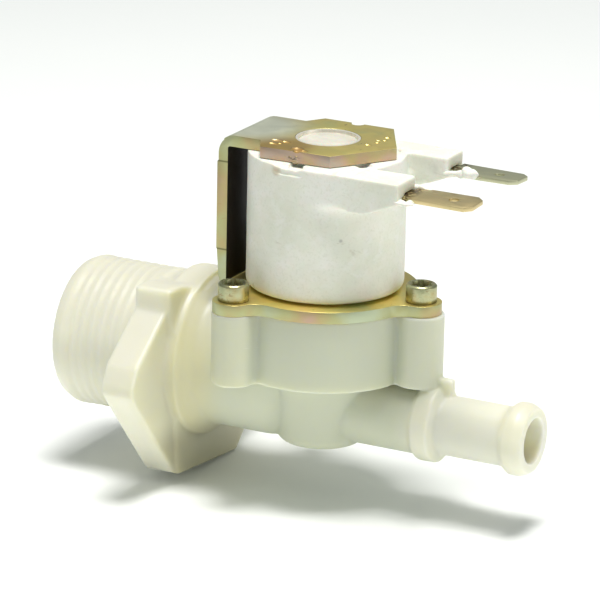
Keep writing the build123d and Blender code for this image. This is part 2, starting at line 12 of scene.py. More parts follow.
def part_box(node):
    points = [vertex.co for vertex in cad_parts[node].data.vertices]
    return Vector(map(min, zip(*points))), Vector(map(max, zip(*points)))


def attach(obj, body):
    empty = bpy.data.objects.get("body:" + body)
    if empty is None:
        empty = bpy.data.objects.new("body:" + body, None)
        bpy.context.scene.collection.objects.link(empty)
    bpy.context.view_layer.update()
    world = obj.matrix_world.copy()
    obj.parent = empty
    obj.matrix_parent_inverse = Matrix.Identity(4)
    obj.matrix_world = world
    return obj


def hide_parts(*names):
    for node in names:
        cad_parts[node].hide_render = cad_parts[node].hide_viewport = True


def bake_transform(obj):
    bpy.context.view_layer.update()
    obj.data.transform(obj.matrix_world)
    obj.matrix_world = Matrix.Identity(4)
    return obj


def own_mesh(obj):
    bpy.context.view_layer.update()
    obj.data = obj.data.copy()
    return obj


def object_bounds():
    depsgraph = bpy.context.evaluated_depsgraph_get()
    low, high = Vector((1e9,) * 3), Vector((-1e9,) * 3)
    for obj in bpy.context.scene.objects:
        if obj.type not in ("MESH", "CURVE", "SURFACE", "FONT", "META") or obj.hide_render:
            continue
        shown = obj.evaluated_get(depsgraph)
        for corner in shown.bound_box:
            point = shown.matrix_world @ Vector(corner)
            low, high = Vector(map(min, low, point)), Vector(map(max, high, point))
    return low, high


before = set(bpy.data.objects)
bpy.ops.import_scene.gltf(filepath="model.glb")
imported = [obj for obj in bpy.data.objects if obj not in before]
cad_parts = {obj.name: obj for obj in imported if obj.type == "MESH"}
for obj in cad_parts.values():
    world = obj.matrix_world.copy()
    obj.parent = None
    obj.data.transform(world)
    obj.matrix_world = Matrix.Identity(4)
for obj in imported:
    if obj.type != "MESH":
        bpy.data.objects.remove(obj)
cad_low, cad_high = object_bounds()

# ---------------------------------------------------------------- camera
# A long lens a little above the valve, looking at the coil from the outlet's near side, and
# tipped slightly clockwise.
view_azimuth = radians(27.3)
view_elevation = radians(17.65)
view_roll = radians(1.2)
view_distance = 0.7
coil_axis_x = 0.0467
sight_point = Vector((coil_axis_x, 0, 0.0159))
sight_right, sight_up = -0.00417, -0.0032
forward = Vector((
    -sin(view_azimuth) * cos(view_elevation),
    cos(view_azimuth) * cos(view_elevation),
    -sin(view_elevation),
))
level_right = Vector((cos(view_azimuth), sin(view_azimuth), 0))
level_up = level_right.cross(forward)
camera_right = level_right * cos(view_roll) + level_up * sin(view_roll)
camera_up = level_up * cos(view_roll) - level_right * sin(view_roll)
camera_place = sight_point + level_right * sight_right + level_up * sight_up - forward * view_distance

camera_data = bpy.data.cameras.new("product_camera")
camera_data.sensor_width = 36
camera_data.lens = 246.75
camera_data.clip_start = 0.05
camera_data.clip_end = 20
camera = bpy.data.objects.new("product_camera", camera_data)
bpy.context.collection.objects.link(camera)
camera.matrix_world = Matrix.Translation(camera_place) @ Matrix(
    (camera_right, camera_up, -forward)
).transposed().to_4x4()
bpy.context.scene.camera = camera

# ---------------------------------------------------------------- studio
# A seamless white table under a white sky, with one large soft box overhead and a weak one on
# the outlet's side.
bpy.context.scene.view_settings.view_transform = "Standard"
sky = bpy.data.worlds.new("studio_sky")
sky.use_nodes = True
sky.node_tree.nodes["Background"].inputs["Color"].default_value = (0.925, 0.99, 0.975, 1)
sky.node_tree.nodes["Background"].inputs["Strength"].default_value = 0.315
bpy.context.scene.world = sky


def soft_box(name, place, target, width, height, watts, tint):
    """One rectangular studio light aimed at a point."""
    lamp = bpy.data.lights.new(name, "AREA")
    lamp.shape = "RECTANGLE"
    lamp.size, lamp.size_y = width, height
    lamp.energy = watts
    lamp.color = tint
    box = bpy.data.objects.new(name, lamp)
    bpy.context.collection.objects.link(box)
    box.matrix_world = Matrix.Translation(place) @ (
        (Vector(target) - Vector(place)).to_track_quat("-Z", "Y").to_matrix().to_4x4()
    )


soft_box("top_box", (0.10, -0.06, 0.80), (0.045, 0, 0), 0.28, 0.28, 7.2, (1.0, 0.985, 0.965))
soft_box("right_box", (0.85, 0.05, 0.30), (0.045, 0, 0.01), 0.4, 0.5, 1.0, (1.0, 0.98, 0.95))


def shader_node(tree, kind, inputs=(), **settings):
    """One shader node with its settings; an input is a value or another node's output."""
    made = tree.nodes.new(kind)
    for key, value in settings.items():
        setattr(made, key, value)
    for key, value in dict(inputs).items():
        if isinstance(value, bpy.types.NodeSocket):
            tree.links.new(value, made.inputs[key])
        else:
            made.inputs[key].default_value = value
    return made


def new_finish(name):
    """A material with an empty node tree but for its Principled shader; gives all three."""
    material = bpy.data.materials.new(name)
    material.use_nodes = True
    tree = material.node_tree
    return material, tree, tree.nodes["Principled BSDF"]


def ramp(tree, factor, *stops):
    """A colour ramp through (place, colour) stops."""
    made = tree.nodes.new("ShaderNodeValToRGB")
    tree.links.new(factor, made.inputs["Fac"])
    bands = made.color_ramp.elements
    while len(bands) < len(stops):
        bands.new(0.5)
    for band, (place, colour) in zip(bands, stops):
        band.position = place
        band.color = (*colour, 1)
    return made.outputs["Color"]


def new_group(name, inputs, outputs):
    """An empty shader node group with float sockets; gives it with its two end nodes."""
    group = bpy.data.node_groups.new(name, "ShaderNodeTree")
    for label, value in inputs.items():
        socket = group.interface.new_socket(label, in_out="INPUT", socket_type="NodeSocketFloat")
        socket.default_value = value
    for label in outputs:
        group.interface.new_socket(label, in_out="OUTPUT", socket_type="NodeSocketFloat")
    return group, group.nodes.new("NodeGroupInput"), group.nodes.new("NodeGroupOutput")


def place_group(tree, group, **inputs):
    """One use of a group in a material, with its own values."""
    return shader_node(tree, "ShaderNodeGroup", inputs, node_tree=group)


# Cloudy tone and fine grain, for every moulded and metal skin
mottle, mottle_in, mottle_out = new_group(
    "mottle", {"Cloud scale": 90.0, "Grain scale": 2500.0}, ("Cloud", "Patch", "Grain")
)
mottle_place = shader_node(mottle, "ShaderNodeTexCoord").outputs["Object"]
cloud = shader_node(mottle, "ShaderNodeTexNoise", {
    "Vector": mottle_place, "Scale": mottle_in.outputs["Cloud scale"], "Detail": 3.0, "Roughness": 0.55,
})
patch_scale = shader_node(mottle, "ShaderNodeMath", {
    0: mottle_in.outputs["Cloud scale"], 1: 3.7,
}, operation="MULTIPLY").outputs["Value"]
patch = shader_node(mottle, "ShaderNodeTexNoise", {
    "Vector": mottle_place, "Scale": patch_scale, "Detail": 2.0, "Distortion": 0.8,
})
grain = shader_node(mottle, "ShaderNodeTexNoise", {
    "Vector": mottle_place, "Scale": mottle_in.outputs["Grain scale"], "Detail": 2.0,
})
for label, made in (("Cloud", cloud), ("Patch", patch), ("Grain", grain)):
    mottle.links.new(made.outputs["Fac"], mottle_out.inputs[label])

def rough_range(tree, shader, factor, low, high):
    """Lets a shader's roughness wander between two values."""
    spread = shader_node(tree, "ShaderNodeMapRange", {"Value": factor, "To Min": low, "To Max": high})
    tree.links.new(spread.outputs["Result"], shader.inputs["Roughness"])


# The table stands a hair below the flange's foot.
table_size = 6.0
bpy.ops.object.select_all(action="DESELECT")
bpy.ops.mesh.primitive_plane_add(size=table_size, location=(coil_axis_x, 0, cad_low.z - 0.0001))
table = bpy.context.object
table.name = "studio_table"
bpy.ops.object.transform_apply(location=True, rotation=True, scale=True)
table_finish, table_tree, table_shader = new_finish("white_table")
table_marks = place_group(table_tree, mottle, **{"Cloud scale": 14.0, "Grain scale": 900.0})
table_tree.links.new(
    ramp(table_tree, table_marks.outputs["Cloud"], (0.3, (0.955, 0.975, 0.965)), (0.7, (0.97, 0.985, 0.975))),
    table_shader.inputs["Base Color"],
)
rough_range(table_tree, table_shader, table_marks.outputs["Grain"], 0.5, 0.62)
table_shader.inputs["Specular IOR Level"].default_value = 0.25
table.data.materials.append(table_finish)

# ---------------------------------------------------------------- valve body
# One injection moulding in natural nylon: threaded inlet, eared flange, drum with three screw
# bosses, bowl and hose spigot. Its corners are all softly rounded, as the mould left them.
body_voxel = 0.0003
body_triangles = 190000
thread_pitch = 0.001814
thread_depth = 0.00016
lead_length, lead_drop = 0.0022, 0.0009
thread_start, thread_stop = 0.0020, 0.0168
thread_crest_r = 0.01322


def cast_from(node, name):
    """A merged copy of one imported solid, ready to be worked on."""
    bpy.ops.object.select_all(action="DESELECT")
    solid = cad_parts[node]
    piece = bpy.data.objects.new(name, solid.data.copy())
    bpy.context.collection.objects.link(piece)
    piece.data.name = name
    piece.data.materials.clear()
    bpy.context.view_layer.objects.active = piece
    piece.select_set(True)
    bpy.ops.object.mode_set(mode="EDIT")
    bpy.ops.mesh.select_all(action="SELECT")
    bpy.ops.mesh.remove_doubles(threshold=2e-6)
    bpy.ops.object.mode_set(mode="OBJECT")
    if piece.data.has_custom_normals:
        bpy.ops.mesh.customdata_custom_splitnormals_clear()
    return piece


def apply_modifier(piece, kind, **settings):
    """Adds one modifier to a piece and applies it."""
    bpy.context.view_layer.objects.active = piece
    modifier = piece.modifiers.new(kind.lower(), kind)
    for key, value in settings.items():
        setattr(modifier, key, value)
    bpy.ops.object.modifier_apply(modifier=modifier.name)


def math_node(tree, operation, *values):
    """One sum on masks or heights; gives its output."""
    made = shader_node(tree, "ShaderNodeMath", enumerate(values), operation=operation)
    return made.outputs["Value"]


def both(tree, first, second):
    """Mask where both masks hold."""
    return math_node(tree, "MULTIPLY", first, second)


def either(tree, first, second):
    """Mask where either mask holds."""
    return math_node(tree, "MAXIMUM", first, second)


def span(tree, value, start, stop, low=0.0, high=1.0, soft=False):
    """Mask that goes from low to high as a value goes from start to stop."""
    made = shader_node(
        tree, "ShaderNodeMapRange",
        {"Value": value, "From Min": start, "From Max": stop, "To Min": low, "To Max": high},
        interpolation_type="SMOOTHSTEP" if soft else "LINEAR",
    )
    return made.outputs["Result"]


def bumped(tree, shader, height, strength, distance):
    """Gives a shader fine relief from a height."""
    relief = shader_node(tree, "ShaderNodeBump", {
        "Height": height, "Strength": strength, "Distance": distance,
    })
    tree.links.new(relief.outputs["Normal"], shader.inputs["Normal"])


def blend_colour(tree, factor, first, second):
    """Colour that goes from first to second as the factor goes from 0 to 1."""
    mix = tree.nodes.new("ShaderNodeMix")
    mix.data_type = "RGBA"
    for key, value in ((0, factor), (6, first), (7, second)):
        if isinstance(value, bpy.types.NodeSocket):
            tree.links.new(value, mix.inputs[key])
        else:
            mix.inputs[key].default_value = value if key == 0 else (*value, 1)
    return mix.outputs[2]


# Scuffs: sparse short marks, where a stretched noise peaks
scuffs, scuffs_in, scuffs_out = new_group("scuffs", {"Scale": 220.0, "Amount": 0.35}, ("Mask",))
scuff_place = shader_node(scuffs, "ShaderNodeTexCoord").outputs["Object"]
scuff_stretch = shader_node(scuffs, "ShaderNodeMapping", {
    "Vector": scuff_place, "Rotation": (0.4, 0.7, 0.5), "Scale": (1.0, 0.35, 2.2),
})
scuff_noise = shader_node(scuffs, "ShaderNodeTexNoise", {
    "Vector": scuff_stretch.outputs["Vector"], "Scale": scuffs_in.outputs["Scale"],
    "Detail": 4.0, "Roughness": 0.7, "Distortion": 1.2,
})
scuff_low = math_node(scuffs, "SUBTRACT", 0.78, scuffs_in.outputs["Amount"])
scuff_high = math_node(scuffs, "ADD", scuff_low, 0.09)
scuff_mask = span(scuffs, scuff_noise.outputs["Fac"], scuff_low, scuff_high, soft=True)
scuffs.links.new(scuff_mask, scuffs_out.inputs["Mask"])

body = cast_from("valve_body", "valve_moulding")
body.data.remesh_voxel_size = body_voxel
bpy.ops.object.voxel_remesh()
apply_modifier(body, "SMOOTH", factor=0.5, iterations=12)

# Deep soft fillets where the neck meets the drum, the bowl and the flange, and round flange edges
neck_start, neck_end, neck_top, water_way_r = 0.0245, 0.0375, 0.0125, 0.0095
flange_start, flange_end = 0.0172, 0.0247
neck_blend = body.vertex_groups.new(name="neck_blend")
flange_edges = body.vertex_groups.new(name="flange_edges")
for vertex in body.data.vertices:
    x, y, z = vertex.co
    radius = (y * y + z * z) ** 0.5
    if neck_start < x < neck_end and radius > water_way_r and z < neck_top:
        softness = min(1.0, (x - neck_start) / 0.002, (neck_end - x) / 0.003)
        neck_blend.add([vertex.index], softness, "REPLACE")
    if flange_start < x < flange_end and radius > thread_crest_r + 0.0003:
        flange_edges.add([vertex.index], 1.0, "REPLACE")
apply_modifier(body, "SMOOTH", factor=0.6, iterations=36, vertex_group="neck_blend")
apply_modifier(body, "SMOOTH", factor=0.5, iterations=14, vertex_group="flange_edges")

# The thread's shallow rounded furrows run round the inlet in a right-hand helix, behind a lead-in
for vertex in body.data.vertices:
    x, y, z = vertex.co
    radius = (y * y + z * z) ** 0.5
    if thread_start < x < thread_stop and radius > thread_crest_r - 0.0006:
        turn = x / thread_pitch - atan2(z, y) / (2 * pi)
        fade = min(1.0, (x - thread_start) / thread_pitch, (thread_stop - x) / thread_pitch)
        furrow = (0.5 - 0.5 * cos(2 * pi * turn)) ** 0.7
        scale = 1 - thread_depth * (furrow + 0.6) * fade / radius
        vertex.co.y *= scale
        vertex.co.z *= scale
    if x < lead_length and radius > thread_crest_r - 0.0022:
        outer_share = min(1.0, (radius - thread_crest_r + 0.0022) / 0.0016)
        scale = 1 - lead_drop * outer_share * (1 - x / lead_length) ** 1.4 / radius
        vertex.co.y *= scale
        vertex.co.z *= scale
body.data.update()
body_count = sum(len(face.vertices) - 2 for face in body.data.polygons)
if body_count > body_triangles:
    apply_modifier(body, "DECIMATE", ratio=body_triangles / body_count)
bpy.ops.object.shade_smooth()

nylon, nylon_tree, nylon_shader = new_finish("natural_nylon")
nylon_marks = place_group(nylon_tree, mottle, **{"Cloud scale": 55.0, "Grain scale": 2600.0})
nylon_warm = ramp(
    nylon_tree, nylon_marks.outputs["Cloud"],
    (0.30, (0.775, 0.765, 0.625)), (0.72, (0.835, 0.82, 0.70)),
)
nylon_place = shader_node(nylon_tree, "ShaderNodeTexCoord").outputs["Object"]
nylon_xyz = shader_node(nylon_tree, "ShaderNodeSeparateXYZ", {"Vector": nylon_place})
nylon_plan = shader_node(nylon_tree, "ShaderNodeCombineXYZ", {
    "X": nylon_xyz.outputs["X"], "Y": nylon_xyz.outputs["Y"],
})
drum_distance = shader_node(nylon_tree, "ShaderNodeVectorMath", {
    0: nylon_plan.outputs["Vector"], 1: (coil_axis_x, 0, 0),
}, operation="DISTANCE")
# Painted shade: the drum, shadowed by the coil and yoke plate, is painted grey-green; the dark rubber and
# water ways inside also show through its wall
drum_centre = span(nylon_tree, drum_distance.outputs["Value"], 0.0225, 0.0165, soft=True)


def screw_distance(tree, plan):
    """Distance in plan from the nearest of the three screws' axes."""
    nearest = None
    for place in ("outlet", "near", "far"):
        low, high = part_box(f"screw_{place}")
        away = shader_node(tree, "ShaderNodeVectorMath", {
            0: plan, 1: ((low.x + high.x) / 2, (low.y + high.y) / 2, 0),
        }, operation="DISTANCE").outputs["Value"]
        if nearest is None:
            nearest = away
        else:
            nearest = math_node(tree, "MINIMUM", nearest, away)
    return nearest


# The bosses, also under the yoke plate and with steel in their cores, get nearly as much painted shade
boss_shade = span(
    nylon_tree, screw_distance(nylon_tree, nylon_plan.outputs["Vector"]), 0.0068, 0.0042,
    high=0.75, soft=True,
)
painted_drum_shade = either(nylon_tree, drum_centre, boss_shade)
neck_shade = span(nylon_tree, nylon_xyz.outputs["X"], 0.0215, 0.0262, soft=True)
neck_stop = span(nylon_tree, nylon_xyz.outputs["X"], 0.050, 0.036, soft=True)
neck_share = both(nylon_tree, neck_shade, neck_stop)
nylon_scuffs = place_group(nylon_tree, scuffs, Scale=160.0, Amount=0.08)
nylon_neck = blend_colour(nylon_tree, neck_share, nylon_warm, (0.73, 0.70, 0.47))
nylon_drum_shaded = blend_colour(nylon_tree, painted_drum_shade, nylon_neck, (0.635, 0.66, 0.52))
# Painted shade: the thick foot in front of the flange, in the neck's shadow, is painted the darkest part
foot_depth = span(nylon_tree, nylon_xyz.outputs["Z"], -0.0085, -0.0150, soft=True)
foot_front = span(nylon_tree, nylon_xyz.outputs["X"], 0.0228, 0.0240, soft=True)
foot_stop = span(nylon_tree, nylon_xyz.outputs["X"], 0.036, 0.028, soft=True)
foot_share = both(nylon_tree, foot_depth, foot_front)
painted_foot_shade = both(nylon_tree, foot_share, foot_stop)
nylon_foot_shaded = blend_colour(nylon_tree, painted_foot_shade, nylon_drum_shaded, (0.49, 0.465, 0.32))
# Painted light: the spigot's bore is painted nearly as pale as its outside, for the light that comes through
# its thin wall
spigot_axis_z, bore_wall_r = -0.0056, 0.0043
spigot_section = shader_node(nylon_tree, "ShaderNodeCombineXYZ", {
    "Y": nylon_xyz.outputs["Y"], "Z": nylon_xyz.outputs["Z"],
})
spigot_distance = shader_node(nylon_tree, "ShaderNodeVectorMath", {
    0: spigot_section.outputs["Vector"], 1: (0, 0, spigot_axis_z),
}, operation="DISTANCE")
bore_inside = span(nylon_tree, spigot_distance.outputs["Value"], bore_wall_r, bore_wall_r - 0.0003)
spigot_reach = span(nylon_tree, nylon_xyz.outputs["X"], 0.056, 0.060)
painted_bore_light = both(nylon_tree, bore_inside, spigot_reach)
nylon_lit = blend_colour(nylon_tree, painted_bore_light, nylon_foot_shaded, (0.94, 0.92, 0.80))
# Painted shade: faces that look up are painted a little darker, to hold down the light from above, less so on
# the spigot
nylon_normal = shader_node(nylon_tree, "ShaderNodeNewGeometry").outputs["Normal"]
nylon_tilt = shader_node(nylon_tree, "ShaderNodeSeparateXYZ", {"Vector": nylon_normal})
nylon_up = span(nylon_tree, nylon_tilt.outputs["Z"], 0.25, 0.95, high=0.85)
spigot_start = span(nylon_tree, nylon_xyz.outputs["X"], 0.058, 0.067, high=0.25, low=1.0)
bead_start = span(nylon_tree, nylon_xyz.outputs["X"], 0.0805, 0.0825)
dull_reach = either(nylon_tree, spigot_start, bead_start)
painted_top_shade = both(nylon_tree, nylon_up, dull_reach)
nylon_tone = blend_colour(nylon_tree, painted_top_shade, nylon_lit, (0.655, 0.64, 0.53))
nylon_tree.links.new(
    blend_colour(nylon_tree, nylon_scuffs.outputs["Mask"], nylon_tone, (0.84, 0.83, 0.73)),
    nylon_shader.inputs["Base Color"],
)
rough_range(nylon_tree, nylon_shader, nylon_marks.outputs["Patch"], 0.34, 0.50)
bumped(nylon_tree, nylon_shader, nylon_marks.outputs["Grain"], 0.12, 0.0001)
nylon_shader.inputs["Subsurface Weight"].default_value = 0.8
nylon_shader.inputs["Subsurface Radius"].default_value = (1.0, 0.9, 0.55)
nylon_shader.inputs["Subsurface Scale"].default_value = 0.0034
nylon_shader.inputs["IOR"].default_value = 1.53
body.data.materials.append(nylon)
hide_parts("valve_body")
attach(body, "valve")

# ---------------------------------------------------------------- inlet strainer
# A push-in cone that keeps grit out: a moulded frame of four ribs with a fine woven screen
# behind its windows.
screen_low, screen_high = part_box("strainer_screen")
screen_turns, screen_rows = 84, 30
screen_wire = 0.00007


def dress(node, material):
    """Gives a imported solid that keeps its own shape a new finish."""
    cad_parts[node].data.materials.clear()
    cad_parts[node].data.materials.append(material)


bpy.ops.object.select_all(action="DESELECT")
screen_length = screen_high.x - screen_low.x
screen_mouth_r = screen_high.y - 0.00015
screen_end_r = screen_mouth_r - screen_length * 0.42
bpy.ops.mesh.primitive_cone_add(
    vertices=screen_turns, radius1=screen_mouth_r, radius2=screen_end_r, depth=screen_length - 0.0001,
    end_fill_type="NOTHING", location=((screen_low.x + screen_high.x) / 2, 0, 0), rotation=(0, pi / 2, 0),
)
screen = bpy.context.object
screen.name = screen.data.name = "strainer_weave"
bpy.ops.object.transform_apply(location=True, rotation=True, scale=True)
for row in range(1, screen_rows):
    bpy.ops.object.mode_set(mode="EDIT")
    bpy.ops.mesh.select_all(action="SELECT")
    bpy.ops.mesh.bisect(
        plane_co=(screen_low.x + screen_length * row / screen_rows, 0, 0), plane_no=(1, 0, 0),
    )
    bpy.ops.object.mode_set(mode="OBJECT")
apply_modifier(
    screen, "WIREFRAME", thickness=2 * screen_wire, use_replace=True, use_boundary=True,
    use_even_offset=False,
)
bpy.ops.object.shade_smooth()

weave, weave_tree, weave_shader = new_finish("polyester_mesh")
weave_marks = place_group(weave_tree, mottle, **{"Cloud scale": 400.0, "Grain scale": 5000.0})
weave_tree.links.new(
    ramp(weave_tree, weave_marks.outputs["Cloud"], (0.3, (0.62, 0.64, 0.62)), (0.7, (0.80, 0.81, 0.78))),
    weave_shader.inputs["Base Color"],
)
rough_range(weave_tree, weave_shader, weave_marks.outputs["Patch"], 0.4, 0.6)
screen.data.materials.append(weave)
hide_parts("strainer_screen")
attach(screen, "valve")

strainer_resin, strainer_tree, strainer_shader = new_finish("strainer_resin")
strainer_marks = place_group(strainer_tree, mottle, **{"Cloud scale": 150.0, "Grain scale": 3000.0})
strainer_tree.links.new(
    ramp(
        strainer_tree, strainer_marks.outputs["Cloud"],
        (0.3, (0.70, 0.73, 0.70)), (0.7, (0.80, 0.82, 0.79)),
    ),
    strainer_shader.inputs["Base Color"],
)
rough_range(strainer_tree, strainer_shader, strainer_marks.outputs["Patch"], 0.32, 0.5)
bumped(strainer_tree, strainer_shader, strainer_marks.outputs["Grain"], 0.15, 0.00008)
strainer_shader.inputs["Subsurface Weight"].default_value = 0.25
strainer_shader.inputs["Subsurface Scale"].default_value = 0.001


def soft_cast(node, name, width, segments=2, angle=35):
    """A copy of a solid with its hard edges rounded over."""
    piece = cast_from(node, name)
    bpy.ops.object.mode_set(mode="EDIT")
    bpy.ops.mesh.select_all(action="SELECT")
    bpy.ops.mesh.dissolve_limited(angle_limit=radians(0.6))
    bpy.ops.object.mode_set(mode="OBJECT")
    apply_modifier(
        piece, "BEVEL", width=width, segments=segments, limit_method="ANGLE", angle_limit=radians(angle),
        use_clamp_overlap=True, harden_normals=False,
    )
    bpy.ops.object.shade_smooth_by_angle(angle=radians(40))
    return piece


strainer = soft_cast("strainer_frame", "strainer_cage", 0.00015)
strainer.data.materials.append(strainer_resin)
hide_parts("strainer_frame")
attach(strainer, "valve")

# ---------------------------------------------------------------- flow regulator
# A rubber ring that swells over its drilled carrier as the pressure rises, pressed in behind
# the strainer.
rubber, rubber_tree, rubber_shader = new_finish("black_rubber")
rubber_marks = place_group(rubber_tree, mottle, **{"Cloud scale": 180.0, "Grain scale": 4200.0})
rubber_tree.links.new(
    ramp(rubber_tree, rubber_marks.outputs["Cloud"], (0.3, (0.018, 0.018, 0.019)), (0.7, (0.05, 0.05, 0.05))),
    rubber_shader.inputs["Base Color"],
)
rough_range(rubber_tree, rubber_shader, rubber_marks.outputs["Patch"], 0.55, 0.75)
bumped(rubber_tree, rubber_shader, rubber_marks.outputs["Grain"], 0.3, 0.0001)
for node in ("regulator_washer", "plunger_tip"):
    dress(node, rubber)
dress("regulator_carrier", strainer_resin)

# ---------------------------------------------------------------- diaphragm
# A moulded rubber disc, clamped all round by its thick rim. Its thin web bends up with the hard
# insert, so it is laid out in sectors, each of which bends along its own radius.
sector_count = 12
disc_voxel = 0.00025
rubber_disc = cast_from("diaphragm", "diaphragm_disc")
rubber_disc.data.remesh_voxel_size = disc_voxel
bpy.ops.object.voxel_remesh()
apply_modifier(rubber_disc, "SMOOTH", factor=0.5, iterations=2)
bpy.ops.object.shade_smooth()
rubber_disc.data.materials.append(rubber)
for sector in range(sector_count):
    middle, half = 2 * pi * sector / sector_count, pi / sector_count
    wedge = bpy.data.objects.new(f"diaphragm_sector_{sector + 1}", rubber_disc.data.copy())
    wedge.data.name = wedge.name
    bpy.context.collection.objects.link(wedge)
    bpy.ops.object.select_all(action="DESELECT")
    wedge.select_set(True)
    bpy.context.view_layer.objects.active = wedge
    for side in (-1, 1):
        edge_turn = middle + side * half
        bpy.ops.object.mode_set(mode="EDIT")
        bpy.ops.mesh.select_all(action="SELECT")
        bpy.ops.mesh.bisect(
            plane_co=(coil_axis_x, 0, 0), plane_no=(-side * sin(edge_turn), side * cos(edge_turn), 0),
            use_fill=True, clear_outer=True,
        )
        bpy.ops.object.mode_set(mode="OBJECT")
    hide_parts("diaphragm")
    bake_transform(wedge)
bpy.data.objects.remove(rubber_disc, do_unlink=True)

# ---------------------------------------------------------------- diaphragm insert
# Hard moulded centre of the rubber diaphragm, with the pilot seat on top.
glass_nylon, glass_tree, glass_shader = new_finish("glass_filled_nylon")
glass_marks = place_group(glass_tree, mottle, **{"Cloud scale": 260.0, "Grain scale": 3600.0})
glass_tree.links.new(
    ramp(glass_tree, glass_marks.outputs["Patch"], (0.3, (0.66, 0.64, 0.54)), (0.7, (0.78, 0.76, 0.67))),
    glass_shader.inputs["Base Color"],
)
rough_range(glass_tree, glass_shader, glass_marks.outputs["Cloud"], 0.42, 0.6)
bumped(glass_tree, glass_shader, glass_marks.outputs["Grain"], 0.25, 0.0001)
for node in ("diaphragm_insert", "coil_bobbin"):
    dress(node, glass_nylon)

# ---------------------------------------------------------------- guide tube
# Thin clear-white tube in which the plunger slides. Its closed end shows in the yoke's hole.
tube_resin, tube_tree, tube_shader = new_finish("tube_resin")
tube_marks = place_group(tube_tree, mottle, **{"Cloud scale": 240.0, "Grain scale": 3000.0})
tube_tree.links.new(
    ramp(tube_tree, tube_marks.outputs["Cloud"], (0.3, (0.56, 0.54, 0.45)), (0.7, (0.69, 0.66, 0.57))),
    tube_shader.inputs["Base Color"],
)
rough_range(tube_tree, tube_shader, tube_marks.outputs["Patch"], 0.28, 0.45)
bumped(tube_tree, tube_shader, tube_marks.outputs["Grain"], 0.1, 0.0001)
tube_shader.inputs["Subsurface Weight"].default_value = 0.3
tube_shader.inputs["Subsurface Scale"].default_value = 0.001
tube = soft_cast("guide_tube", "guide_tube_moulding", 0.0002, 3)
tube.data.materials.append(tube_resin)
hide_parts("guide_tube")
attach(tube, "valve")

# ---------------------------------------------------------------- plunger, spring and sleeves
# Ground stainless plunger with its light return spring, and the two rolled steel sleeves that
# carry the flux from the yoke to it.
steel, steel_tree, steel_shader = new_finish("ground_steel")
steel_marks = place_group(steel_tree, mottle, **{"Cloud scale": 300.0, "Grain scale": 6000.0})
steel_tree.links.new(
    ramp(steel_tree, steel_marks.outputs["Patch"], (0.3, (0.50, 0.49, 0.46)), (0.7, (0.66, 0.65, 0.62))),
    steel_shader.inputs["Base Color"],
)
steel_shader.inputs["Metallic"].default_value = 1.0
rough_range(steel_tree, steel_shader, steel_marks.outputs["Cloud"], 0.18, 0.36)
bumped(steel_tree, steel_shader, steel_marks.outputs["Grain"], 0.1, 0.00005)
for node in ("plunger", "lower_flux_sleeve"):
    dress(node, steel)
# The spring stands in the plunger's pocket and shortens by the plunger's travel
spring = cast_from("plunger_spring", "plunger_spring_wound")
bpy.ops.object.shade_smooth()
spring.data.materials.append(steel)
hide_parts("plunger_spring")
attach(spring, "valve")
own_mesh(spring)
# The upper sleeve's end is wiped clean where it shows in the yoke's hole
wiped, wiped_tree, wiped_shader = new_finish("wiped_steel")
wiped_marks = place_group(wiped_tree, mottle, **{"Cloud scale": 260.0, "Grain scale": 6000.0})
wiped_tree.links.new(
    ramp(wiped_tree, wiped_marks.outputs["Patch"], (0.3, (0.74, 0.70, 0.60)), (0.7, (0.86, 0.82, 0.72))),
    wiped_shader.inputs["Base Color"],
)
wiped_shader.inputs["Metallic"].default_value = 0.55
rough_range(wiped_tree, wiped_shader, wiped_marks.outputs["Cloud"], 0.30, 0.45)
bumped(wiped_tree, wiped_shader, wiped_marks.outputs["Grain"], 0.1, 0.00005)
sleeve = soft_cast("upper_flux_sleeve", "upper_flux_sleeve_rolled", 0.00012)
sleeve.data.materials.append(wiped)
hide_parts("upper_flux_sleeve")
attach(sleeve, "valve")

# ---------------------------------------------------------------- yoke
# A strip of steel blanked and bent into a C, staked at its corners and plated with zinc that
# was passivated yellow, so that it shines gold with pink and green where the film thins.
yoke = soft_cast("yoke", "yoke_plated", 0.00028, 3)
yoke_low, yoke_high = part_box("yoke")
yoke_top = yoke_high.z

# Punch pits left by the tools that held and staked the strip
punch_marks = [
    (-0.0064, -0.0062, 0.00085, 1.6), (-0.0046, -0.0064, 0.00060, 1.7), (-0.0059, -0.0084, 0.00060, 1.9),
    (-0.0050, -0.0078, 0.00045, 1.3), (-0.0010, -0.0092, 0.00110, 1.2), (0.0004, -0.0099, 0.00070, 1.5),
    (-0.0004, -0.0105, 0.00075, 1.1), (0.0079, -0.0008, 0.00050, 1.5), (0.0086, 0.0012, 0.00060, 1.0),
    (0.0083, 0.0025, 0.00035, 1.8), (0.0091, 0.0031, 0.00045, 1.2), (0.0087, 0.0049, 0.00060, 1.2),
]
bpy.ops.object.select_all(action="DESELECT")
punches = []
for mark_x, mark_y, mark_r, stretch in punch_marks:
    bpy.ops.mesh.primitive_uv_sphere_add(
        segments=14, ring_count=8, radius=mark_r, scale=(stretch, 1.0, 0.7),
        location=(coil_axis_x + mark_x, mark_y, yoke_top + mark_r * 0.25),
    )
    bpy.ops.object.transform_apply(location=True, rotation=True, scale=True)
    punches.append(bpy.context.object)
for punch in punches:
    apply_modifier(yoke, "BOOLEAN", operation="DIFFERENCE", object=punch, solver="EXACT")
    bpy.data.objects.remove(punch, do_unlink=True)
